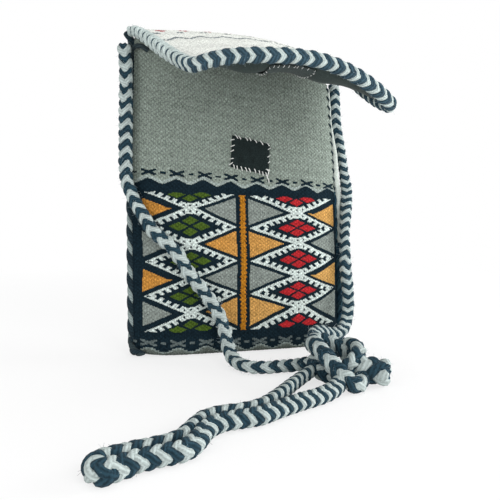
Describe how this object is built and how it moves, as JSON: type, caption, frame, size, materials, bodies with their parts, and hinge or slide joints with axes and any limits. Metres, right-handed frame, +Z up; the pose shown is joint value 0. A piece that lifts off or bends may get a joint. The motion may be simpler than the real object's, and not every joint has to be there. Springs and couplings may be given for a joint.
{
  "type": "kilim shoulder pouch",
  "caption": "Woven kilim shoulder pouch with a lined flap edged in a two-colour plait, a sewn-on closure patch, bound side seams and a plaited strap tied in a knot.",
  "frame": {"origin": "centre of the flat base, on the floor the bag stands on", "axes": "+X to the right along the bag's width as seen from the front, +Y towards the back panel, +Z up"},
  "size_m": [0.1948, 0.2107, 0.2358],
  "materials": {
    "pouch_wool": "matt woven wool",
    "flap_wool": "matt woven wool",
    "lining": "smooth dark lining cloth",
    "closure": "fuzzy hook-and-loop",
    "flap_braid": "plaited wool, navy and white",
    "binding": "overcast wool, navy and grey",
    "strap": "plaited wool, navy and white"
  },
  "bodies": {
    "root": {"pouch_cloth": "pouch_wool", "flap_cloth": "flap_wool", "lining": "lining", "front_closure_patch": "closure", "flap_closure_patch": "closure", "flap_braid": "flap_braid", "left_seam_binding": "binding", "right_seam_binding": "binding", "strap_left_run": "strap", "strap_right_run": "strap", "strap_knot": "strap", "strap_loop": "strap"}
  },
  "joints": []
}
